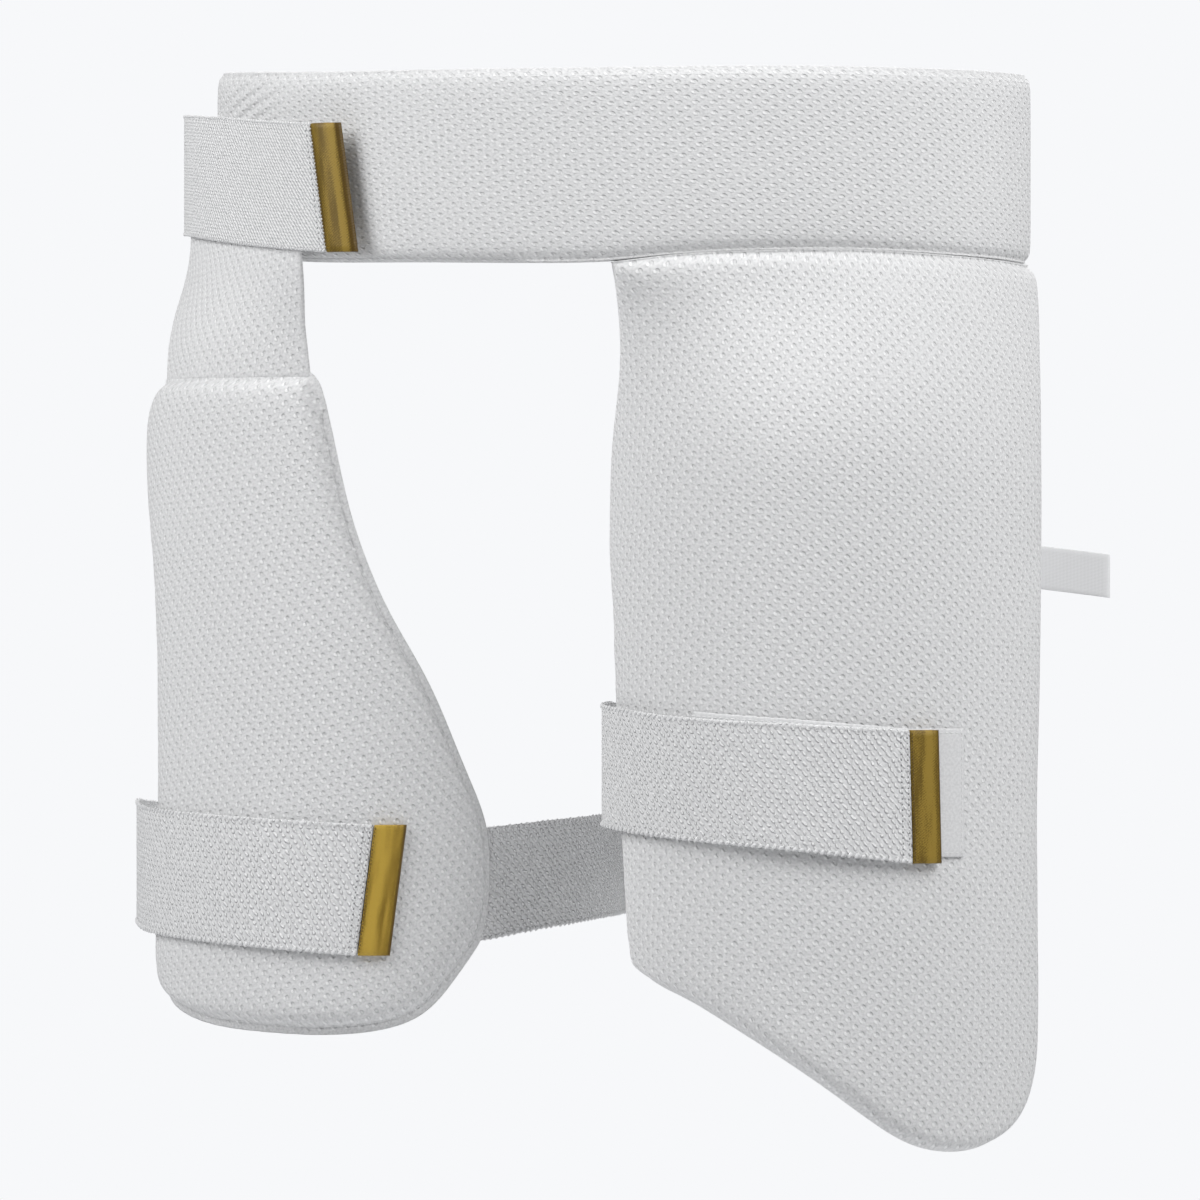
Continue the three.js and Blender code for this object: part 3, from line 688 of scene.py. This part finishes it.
def seam_path(piece, oval, inset, beside):
    """The path of a seam on a pad's face, a little in from chosen stretches of its edge."""
    rim = set(rim_of(piece))
    joined_to = {index: [] for index in rim}
    for edge in piece.data.edges:
        first, second = edge.vertices
        if first in rim and second in rim:
            joined_to[first].append(second)
            joined_to[second].append(first)
    loop = [min(rim), joined_to[min(rim)][0]]
    for _ in range(len(rim) - 2):
        loop.append(next(index for index in joined_to[loop[-1]] if index != loop[-2]))
    places = vertices_of(piece.data)[loop]
    chosen = np.array([beside(place) for place in places])
    first = int(np.flatnonzero(~chosen)[0])
    places, chosen = np.roll(places, -first, axis=0), np.roll(chosen, -first)
    flat = np.stack([oval.length_at(oval.turn_of(places)), places[:, 2]], axis=1)
    onward = np.roll(flat, -1, axis=0) - np.roll(flat, 1, axis=0)
    area = np.sum(flat[:, 0] * np.roll(flat[:, 1], -1) - np.roll(flat[:, 0], -1) * flat[:, 1])
    inward = np.stack([-onward[:, 1], onward[:, 0]], axis=1) * np.sign(area)
    flat += inward / np.linalg.norm(inward, axis=1, keepdims=True) * inset
    face = BVHTree.FromPolygons(
        [vertex.co for vertex in piece.data.vertices],
        [polygon.vertices for polygon in piece.data.polygons],
    )
    path = []
    for far, z in flat[chosen]:
        start, out = oval.place(float(oval.turn_at(far)), float(z), ABOVE_CLOTH)
        spot, way = face.ray_cast(start, -out)[:2]
        if spot:
            path.append((spot, way))
    return path


white_thread = thread_of("white_thread", (0.86, 0.862, 0.866, 1), (0.72, 0.722, 0.728, 1))
hip = Oval(**HIP)
belt = soft_copy("waist_belt", air_mesh, hip, **BELT_SWELL)
belt_turns = hip.turn_of(vertices_of(belt.data))
belt_start, belt_end = belt_turns.min() + BELT_END, belt_turns.max() - BELT_END
belt_middle = (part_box("waist_belt")[0][2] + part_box("waist_belt")[1][2]) / 2


def belt_turn(point):
    return hip.turn_of(np.array([point]))[0]


def on_belt_top(point):
    return point[2] > belt_middle and belt_start < belt_turn(point) < belt_end


def on_belt_seam(point):
    return point[2] < belt_middle and BELT_SEAM_TURN < belt_turn(point) < belt_end


def on_belt_hem(point):
    return point[2] < belt_middle and belt_start < belt_turn(point) < BELT_SEAM_TURN


square_up(belt, hip, BELT_RISE, TOP_ROLL, on_belt_top)
square_up(belt, hip, BELT_RISE, SEAM_ROLL, on_belt_seam)
mark_seam(belt, SEAM_INSET, lambda point: on_belt_top(point) or on_belt_hem(point))
lay_cloth(belt, hip, **BELT_CLOTH)
mark_pulls(belt, [(hip.place(math.radians(turn), z)[0], reach) for turn, z, reach in BELT_PULLS])
stand_in(belt, "waist_belt")
top_path = seam_path(belt, hip, SEAM_INSET, on_belt_top)
sew("belt_top_stitches", [top_path], white_thread, "mesh_fabric", **TOP_STITCH)

# Outer pad
# The long pad over the front thigh, in the same air mesh over thicker foam. It is sewn to the belt's
# bottom edge and settles from the hip's curve onto the thigh's.
LEFT_THIGH = {"middle": (0.1097, -0.014), "width": 0.176, "depth": 0.193}
PAD_SWELL = {"slack": 0.0005, "cap": 0.0007}
PAD_RISE = 0.009
PAD_TOP_DIP = 0.005
PAD_TUCK = 0.0014
PAD_TUCK_START = 0.008
OUTER_CLOTH = {"slope": 0.07, "lean": -0.04}
left_thigh = Oval(**LEFT_THIGH)
outer_pad = soft_copy("outer_pad", air_mesh, left_thigh, **PAD_SWELL)
lay_cloth(outer_pad, left_thigh, **OUTER_CLOTH)
pad_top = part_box("outer_pad")[1][2]
square_up(outer_pad, left_thigh, PAD_RISE, SEAM_ROLL, lambda point: point[2] > pad_top - PAD_TOP_DIP)
tuck(outer_pad, pad_top, PAD_TUCK_START, PAD_TUCK)
mark_no_seam(outer_pad)
stand_in(outer_pad, "outer_pad")

# Inner neck
# One layer of air mesh that joins the inner pad to the waist strap and lets the pad swing.
# It is caught under the strap and sewn down on the pad's top edge.
RIGHT_THIGH = {"middle": (-0.1069, -0.014), "width": 0.196, "depth": 0.216}
NECK_TUCK = 0.004
NECK_TUCK_START = 0.012
INNER_CLOTH = {"slope": -0.07, "lean": -0.14}
right_thigh = Oval(**RIGHT_THIGH)
neck = soft_copy("inner_neck", air_mesh, right_thigh)
tuck(neck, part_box("inner_neck")[0][2], NECK_TUCK_START, -NECK_TUCK)
mark_no_seam(neck)
lay_cloth(neck, right_thigh, **INNER_CLOTH)
stand_in(neck, "inner_neck")

# Inner pad
# The smaller pad inside the back thigh: air mesh over foam, with a flat sewn hem all round it.
INNER_TOP_DIP = 0.02
inner_pad = soft_copy("inner_pad", air_mesh, right_thigh, **PAD_SWELL)
inner_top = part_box("inner_pad")[1][2]


def on_inner_hem(point):
    return point[2] < inner_top - INNER_TOP_DIP


mark_seam(inner_pad, SEAM_INSET, on_inner_hem)
lay_cloth(inner_pad, right_thigh, **INNER_CLOTH)
stand_in(inner_pad, "inner_pad")
hem_path = seam_path(inner_pad, right_thigh, SEAM_INSET, on_inner_hem)
sew("inner_hem_stitches", [hem_path], white_thread, "mesh_fabric", **TOP_STITCH)

# Straps
# Three broad bands of woven elastic, each sewn behind a padded piece, led round the back and
# fastened in front. The thigh straps have a coarser knit than the waist strap.
ELASTIC_WHITE = (0.97, 0.972, 0.976, 1)
# Each knit's shade colour is painted shade for the gaps between its stitches.
FINE_KNIT = {
    "shade": (0.36, 0.363, 0.37, 1), "pitch": 0.0023, "row": 0.0014, "angle": math.radians(34),
    "length": 0.0014, "width": 0.0007, "depth": 0.0006,
}
COARSE_KNIT = {
    "shade": (0.62, 0.623, 0.63, 1), "pitch": 0.0034, "row": 0.00195, "angle": math.radians(47),
    "length": 0.0013, "width": 0.0008, "depth": 0.001,
}
SHARP_FOLD = 1.0
EDGE_STEPS = (0, 0.12, 0.4, 1)
THINNEST_END = 0.15
STRAP_MESH = {"lengthwise": 240, "crosswise": 16, "edge": 0.0014}
SELVEDGE_END = 0.002
SELVEDGE_POINTS = 200
ROW_POINTS = 12
END_MARGIN = 0.04
HOLE_MARGIN = 0.06
ZIGZAG_MARGIN = 0.05
SELVEDGE_INSET = 0.0007
FINE_SELVEDGE = {
    "Spacing": 0.0021, "Length": 0.0019, "Width": 0.0011, "Height": 0.0009, "Slant": 0.7,
    "Unevenness": 0.12, "Seed": 5,
}
COARSE_SELVEDGE = {
    "Spacing": 0.0029, "Length": 0.0027, "Width": 0.0016, "Height": 0.0013, "Slant": 0.9,
    "Unevenness": 0.15, "Seed": 7,
}
END_ROWS = (0.0016, 0.0044)
END_STITCH = {
    "Spacing": 0.0023, "Length": 0.0019, "Width": 0.0007, "Height": 0.0006, "Unevenness": 0.08, "Seed": 11,
}
# Painted shade: dots of dark thread that stand in for the shadow inside the needle holes.
NEEDLE_HOLE_SHADOW = {
    "Spacing": 0.0023, "Length": 0.0009, "Width": 0.0008, "Height": 0.0004, "Unevenness": 0.3, "Seed": 12,
}
ZIGZAG_FROM_ROOT = 0.014
ZIGZAG_STITCH = {
    "Spacing": 0.002, "Length": 0.0042, "Width": 0.0008, "Height": 0.0007, "Slant": 1.05, "Zigzag": 1.0,
    "Unevenness": 0.06, "Seed": 13,
}


def rings_of(node, behind, free_end):
    """The sections of a CAD band, ordered to its free end: top and bottom, outer face and back."""
    surface = joined(node)
    sharp = {edge for edge in surface.edges if edge.calc_face_angle() > SHARP_FOLD}
    beside = {v: [e.other_vert(v) for e in v.link_edges if e in sharp] for v in surface.verts}
    corners = [v for v in surface.verts if len(beside[v]) == 3]
    corners.sort(key=lambda v: -(v.co - Vector(free_end)).length)
    rails = []
    for corner in corners[:4]:
        rail = [corner, next(v for v in beside[corner] if v not in corners[:4])]
        while len(beside[rail[-1]]) == 2:
            rail.append(next(v for v in beside[rail[-1]] if v != rail[-2]))
        rails.append([list(v.co) for v in rail])
    surface.free()
    rails.sort(key=lambda rail: -rail[0][2])
    reach = [math.dist(rail[0][:2], behind[:2]) for rail in rails]
    order = [0, 1] if reach[0] > reach[1] else [1, 0]
    order += [2, 3] if reach[2] > reach[3] else [3, 2]
    return np.array([rails[k] for k in order]).swapaxes(0, 1)


def smooth_between(rows, at):
    """A smooth curve through rows of points, read at shares of the way from row to row."""
    k = np.clip(at.astype(int), 0, len(rows) - 2)
    t = (at - k).reshape(-1, *[1] * (rows.ndim - 1))
    before, after = rows[np.maximum(k - 1, 0)], rows[np.minimum(k + 2, len(rows) - 1)]
    start, end = rows[k], rows[k + 1]
    bend = 2 * before - 5 * start + 4 * end - after
    return start + 0.5 * t * (end - before + t * (bend + t * (3 * (start - end) + after - before)))


def band(name, rings, recipe, lengthwise, crosswise, edge, end_round=0.0, shape=None):
    """A flat band with rounded edges and a cloth map, through the sections and raised by a shape."""
    rows = smooth_between(rings, np.linspace(0, len(rings) - 1, lengthwise + 1))
    width = np.linalg.norm(rows[:, 0] - rows[:, 2], axis=1).mean()
    near = np.array(EDGE_STEPS) * edge / width
    shares = np.concatenate([near, np.linspace(near[-1], 1 - near[-1], crosswise)[1:-1], 1 - near[::-1]])
    fullness = np.sqrt(1 - (1 - np.minimum(1, np.minimum(shares, 1 - shares) * width / edge)) ** 2)
    middles = rows.mean(axis=1)
    run = np.concatenate([[0], np.cumsum(np.linalg.norm(np.diff(middles, axis=0), axis=1))])
    surface = bmesh.new()
    cloth_map = surface.loops.layers.uv.new("cloth")
    places, loops = {}, []
    for (top_face, top_back, low_face, low_back), far in zip(rows, run):
        to_end = run[-1] - far
        squash = math.sqrt(1 - (1 - min(1, to_end / end_round)) ** 2) if end_round else 1
        face, back = [], []
        for share, full in zip(shares, fullness):
            outside = top_face + (low_face - top_face) * share
            inside = top_back + (low_back - top_back) * share
            out = (outside - inside) / np.linalg.norm(outside - inside)
            centre, half = (outside + inside) / 2, (outside - inside) / 2
            raise_by = out * shape(far / run[-1]) if shape else 0
            for side, sign in ((face, 1), (back, -1)):
                if sign < 0 and full == 0:
                    continue
                thickness = sign * half * full * max(squash, THINNEST_END)
                vertex = surface.verts.new(centre + thickness + raise_by)
                places[vertex] = (far, share * width)
                side.append(vertex)
        loops.append(face + back[::-1])
    for first, second in zip(loops, loops[1:]):
        count = len(first)
        for k in range(count):
            j = (k + 1) % count
            surface.faces.new((first[k], second[k], second[j], first[j]))
    surface.faces.new(loops[0])
    surface.faces.new(loops[-1][::-1])
    bmesh.ops.recalc_face_normals(surface, faces=surface.faces)
    for face in surface.faces:
        for loop in face.loops:
            loop[cloth_map].uv = places[loop.vert]
    mesh = bpy.data.meshes.new(name)
    surface.to_mesh(mesh)
    surface.free()
    return piece_of(name, mesh, recipe)


def elastic(name, shade, pitch, row, angle, length, width, depth):
    """A knitted elastic: staggered slanting stitches over gaps painted darker as shade, with a looser knit
    at its edges.
    """
    recipe = Recipe(name, {"Roughness": 0.9, "Sheen Weight": 0.1, "Specular IOR Level": 0.25})
    place, along, up = recipe.cloth()
    fuzz = recipe.noise(place, pitch * 0.45, 3.0)
    drift = (recipe.noise(place, pitch * 1.4, 1.0) - 0.5) * (pitch * 1.1)
    stitch = recipe.spots(along + drift, up + drift * 0.5, pitch, row, angle, length, width)
    thread = stitch * recipe.fade(fuzz, 0.25, 0.55, 0.55, 1.0) + fuzz * 0.35
    # Painted shade: the gaps between the stitches take the darker shade colour.
    colour = recipe.blend(recipe.fade(thread, 0.0, 0.45), shade, ELASTIC_WHITE)
    recipe.feed(recipe.shader, {"Base Color": colour})
    recipe.relief(thread * depth)
    return recipe


waist_elastic = elastic("waist_elastic", **FINE_KNIT)
thigh_elastic = elastic("thigh_elastic", **COARSE_KNIT)


def width_of(rings):
    return np.linalg.norm(rings[:, 0] - rings[:, 2], axis=1).mean()


def length_of(rings):
    return np.linalg.norm(np.diff(rings.mean(axis=1), axis=0), axis=1).sum()


def on_band(rings, far, share):
    """A place on a band's face, far along it and at a share of its width, and the way out there."""
    run = np.concatenate([[0], np.cumsum(np.linalg.norm(np.diff(rings.mean(axis=1), axis=0), axis=1))])
    at = np.interp([far], run, np.arange(len(rings)))
    top_face, top_back, low_face, low_back = smooth_between(rings, at)[0]
    outside = top_face + (low_face - top_face) * share
    out = outside - (top_back + (low_back - top_back) * share)
    return outside, out / np.linalg.norm(out)


def row_across(rings, far, margin, count=ROW_POINTS):
    """Places across a band's face, far along it, from one margin to the other."""
    return [on_band(rings, far, share) for share in np.linspace(margin, 1 - margin, count)]


def middle_of(node):
    low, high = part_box(node)
    return np.array((low + high) / 2)


elastic_thread = thread_of("elastic_thread", (0.84, 0.842, 0.846, 1), (0.66, 0.662, 0.668, 1))
hole_shadow = thread_of("hole_shadow", (0.3, 0.303, 0.31, 1), (0.2, 0.203, 0.21, 1))
STRAPS = [
    {
        "strap": "waist_strap", "tab": "waist_tab", "oval": hip,
        "elastic": waist_elastic, "selvedge": FINE_SELVEDGE, "rests_on": ["waist_belt", "inner_neck"],
    },
    {
        "strap": "outer_strap", "tab": "outer_tab", "oval": left_thigh,
        "elastic": thigh_elastic, "selvedge": COARSE_SELVEDGE,
        "rests_on": ["outer_pad", "outer_hook_patch"],
    },
    {
        "strap": "inner_strap", "tab": "inner_tab", "oval": right_thigh,
        "elastic": thigh_elastic, "selvedge": COARSE_SELVEDGE, "rests_on": ["inner_pad"],
    },
]
for row in STRAPS:
    row["rings"] = rings_of(row["strap"], row["oval"].middle, middle_of(row["tab"]))
    webbing = band(row["strap"] + "_webbing", row["rings"], row["elastic"], **STRAP_MESH)
    stand_in(webbing, row["strap"])
    long, wide = length_of(row["rings"]), width_of(row["rings"])
    along_edge = np.linspace(SELVEDGE_END, long - SELVEDGE_END, SELVEDGE_POINTS)
    selvedges = [
        [on_band(row["rings"], far, share) for far in along_edge]
        for share in (SELVEDGE_INSET / wide, 1 - SELVEDGE_INSET / wide)
    ]
    sew(row["strap"] + "_selvedge", selvedges, elastic_thread, "elastic", **row["selvedge"])
    end_rows = [row_across(row["rings"], long - inset, END_MARGIN) for inset in END_ROWS]
    sew(row["strap"] + "_end_stitches", end_rows, white_thread, "elastic", **END_STITCH)
    # Dark thread dots beside the end stitches are painted shade for the needle holes.
    hole_shadow_rows = [row_across(row["rings"], long - inset, HOLE_MARGIN) for inset in END_ROWS]
    sew(row["strap"] + "_needle_hole_shadows", hole_shadow_rows, hole_shadow, "elastic", **NEEDLE_HOLE_SHADOW)
root_row = row_across(STRAPS[-1]["rings"], ZIGZAG_FROM_ROOT, ZIGZAG_MARGIN)
sew("inner_strap_zigzag", [root_row], white_thread, "elastic", **ZIGZAG_STITCH)

# End tabs
# A folded piece of old-gold satin ribbon on each strap's end, sewn in with the cut edge of the
# elastic. The fold is full and round, and the ribbon crowns between its edges.
SATIN_GOLD = (0.42, 0.28, 0.045)
# The dark end of the painted sheen bands and of the satin's own grain.
SATIN_DARK_SHEEN_AND_GRAIN = (0.19, 0.118, 0.014)
# Painted shade where the ribbon turns under at its fold.
SATIN_FOLD_SHADE = (0.07, 0.038, 0.006, 1)
SATIN_GRAIN = 0.0006
SATIN_SHEEN_BAND = 0.009
SATIN_THREAD = 0.0009
GRAIN_DEPTH = 0.00008
SATIN_DEPTH = 0.00002
FOLD_PLACE = 0.0122
FOLD_WIDTH = 0.0009
TAB_MESH = {"lengthwise": 16, "crosswise": 24, "edge": 0.0006, "end_round": 0.0013}
TAB_PUFF = 0.14
TAB_CROWN = 0.0007
TAB_SEAM = 0.0007
TAB_MARGIN = 0.03
TAB_STITCH = {
    "Spacing": 0.0015, "Length": 0.0012, "Width": 0.0006, "Height": 0.0005, "Unevenness": 0.1, "Seed": 17,
}
gold_thread = thread_of("gold_thread", (0.16, 0.1, 0.014, 1), (0.08, 0.048, 0.006, 1))


def satin_of(name, highlight_place, highlight_reach, painted_light_level):
    """Makes the ribbon's satin: painted sheen, a painted crest highlight, painted shade at the fold."""
    satin = Recipe(name, {"Roughness": 0.4, "Metallic": 0.1, "Specular IOR Level": 0.3})
    place, along, up = satin.cloth()
    grain = satin.noise(place, SATIN_GRAIN)
    drawn = satin.node("ShaderNodeCombineXYZ", {}, {"X": along * 2.5, "Y": up * 0.35})["Vector"]
    # Painted sheen: stretched noise paints soft bands of light across the ribbon; grain and threads are
    # its own.
    sheen_bands = satin.noise(drawn, SATIN_SHEEN_BAND, 1.0)
    threads = satin.sum("SINE", (along * 0.6 + up * 0.8) * (math.tau / SATIN_THREAD))
    # Painted highlight along a crest, placed for each tab.
    crest_highlight = satin.fade(satin.sum("ABSOLUTE", along - highlight_place), 0.0, highlight_reach, 1.0, 0.0)
    sheen_and_grain = satin.fade(sheen_bands * 0.55 + grain * 0.5 + threads * 0.05 - crest_highlight * 0.2, 0.36, 0.6)
    # Painted shade: the ribbon darkens where its fold turns under.
    fold_shade = satin.fade(along, FOLD_PLACE, FOLD_PLACE + FOLD_WIDTH)
    gold, deep = [(*(part * painted_light_level for part in colour), 1) for colour in (SATIN_GOLD, SATIN_DARK_SHEEN_AND_GRAIN)]
    sheen_and_grain_colour = satin.blend(sheen_and_grain, gold, deep)
    satin.feed(satin.shader, {"Base Color": satin.blend(fold_shade * 0.75, sheen_and_grain_colour, SATIN_FOLD_SHADE)})
    satin.relief(grain * GRAIN_DEPTH + threads * SATIN_DEPTH)
    return satin


# Each tab has its own copy of the satin, made brighter or darker by a painted light level for the light it
# catches.
SATINS = {
    "waist_tab": satin_of("waist_satin", highlight_place=0.0105, highlight_reach=0.0028, painted_light_level=0.7),
    "outer_tab": satin_of("outer_satin", highlight_place=0.008, highlight_reach=0.004, painted_light_level=0.78),
    "inner_tab": satin_of("inner_satin", highlight_place=0.0045, highlight_reach=0.005, painted_light_level=1.3),
}
for row in STRAPS:
    free_end = 2 * middle_of(row["tab"]) - row["rings"][-1].mean(0)
    rings = rings_of(row["tab"], row["oval"].middle, free_end)
    rings[-1] += (rings[-1] - rings[0]) * TAB_PUFF
    tab = band(
        row["tab"] + "_ribbon", rings, SATINS[row["tab"]], **TAB_MESH,
        shape=lambda far: -TAB_CROWN * (2 * far - 1) ** 2,
    )
    stand_in(tab, row["tab"])
    sewn_end = row_across(rings, TAB_SEAM, TAB_MARGIN)
    sew(row["tab"] + "_stitches", [sewn_end], gold_thread, "satin_tab", **TAB_STITCH)

# Hook patch
# A smooth patch of brushed loop cloth sewn flat on the outer pad, where the strap's hooks grip.
NAP_WHITE = (0.76, 0.762, 0.768, 1)
NAP_SHADE = (0.66, 0.662, 0.668, 1)
NAP_SIZE = 0.0012
NAP_DEPTH = 0.0001
PATCH_MESH = {"lengthwise": 90, "crosswise": 16, "edge": 0.0012}
PATCH_SEAM = 0.0018
BORDER_POINTS = 60
BORDER_END_POINTS = 20
PATCH_STITCH = {
    "Spacing": 0.0026, "Length": 0.0021, "Width": 0.0006, "Height": 0.0004, "Unevenness": 0.06, "Seed": 19,
}
brushed = Recipe("brushed_loop", {"Roughness": 0.95, "Sheen Weight": 0.25, "Specular IOR Level": 0.2})
place, along, up = brushed.cloth()
nap = brushed.noise(place, NAP_SIZE, 3.0)
nap_colour = brushed.blend(brushed.fade(nap, 0.3, 0.7), NAP_WHITE, NAP_SHADE)
brushed.feed(brushed.shader, {"Base Color": nap_colour})
brushed.relief(nap * NAP_DEPTH)
patch_rings = rings_of("outer_hook_patch", left_thigh.middle, middle_of("outer_tab"))
patch = band("outer_hook_patch_cloth", patch_rings, brushed, **PATCH_MESH)
stand_in(patch, "outer_hook_patch")
patch_long, patch_wide = length_of(patch_rings), width_of(patch_rings)
patch_margin, patch_end = PATCH_SEAM / patch_wide, patch_long - PATCH_SEAM
border = [
    [on_band(patch_rings, far, share) for far in np.linspace(0, patch_end, BORDER_POINTS)]
    for share in (patch_margin, 1 - patch_margin)
]
border.append(row_across(patch_rings, patch_end, patch_margin, BORDER_END_POINTS))
sew("outer_hook_patch_stitches", border, white_thread, "hook_patch", **PATCH_STITCH)

# Side label
# A folded white tape, left blank, caught in the seam of the outer pad's rear edge.
TAPE_WHITE = (0.82, 0.823, 0.83, 1)
TAPE_SHADE = (0.5, 0.505, 0.515, 1)
TAPE_WEAVE = 0.0006
TAPE_DEPTH = 0.00003
TAPE_MESH = {"lengthwise": 20, "crosswise": 12, "edge": 0.0004, "end_round": 0.0006}
BEHIND_LABEL = (0, 1)
tape = Recipe("label_tape", {"Roughness": 0.55, "Sheen Weight": 0.1})
place, along, up = tape.cloth()
warp = tape.sum("SINE", along * (math.tau / TAPE_WEAVE)) * 0.5
weft = tape.sum("SINE", up * (math.tau / TAPE_WEAVE)) * 0.5
threads = warp + weft
tape.feed(tape.shader, {"Base Color": tape.blend(threads * 0.1 + 0.1, TAPE_WHITE, TAPE_SHADE)})
tape.relief(threads * TAPE_DEPTH)
label_rings = rings_of("side_label", BEHIND_LABEL, np.array(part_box("side_label")[1]))
label = band("side_label_tape", label_rings, tape, **TAPE_MESH)
stand_in(label, "side_label")
label_cut = (width_of(label_rings), length_of(label_rings))
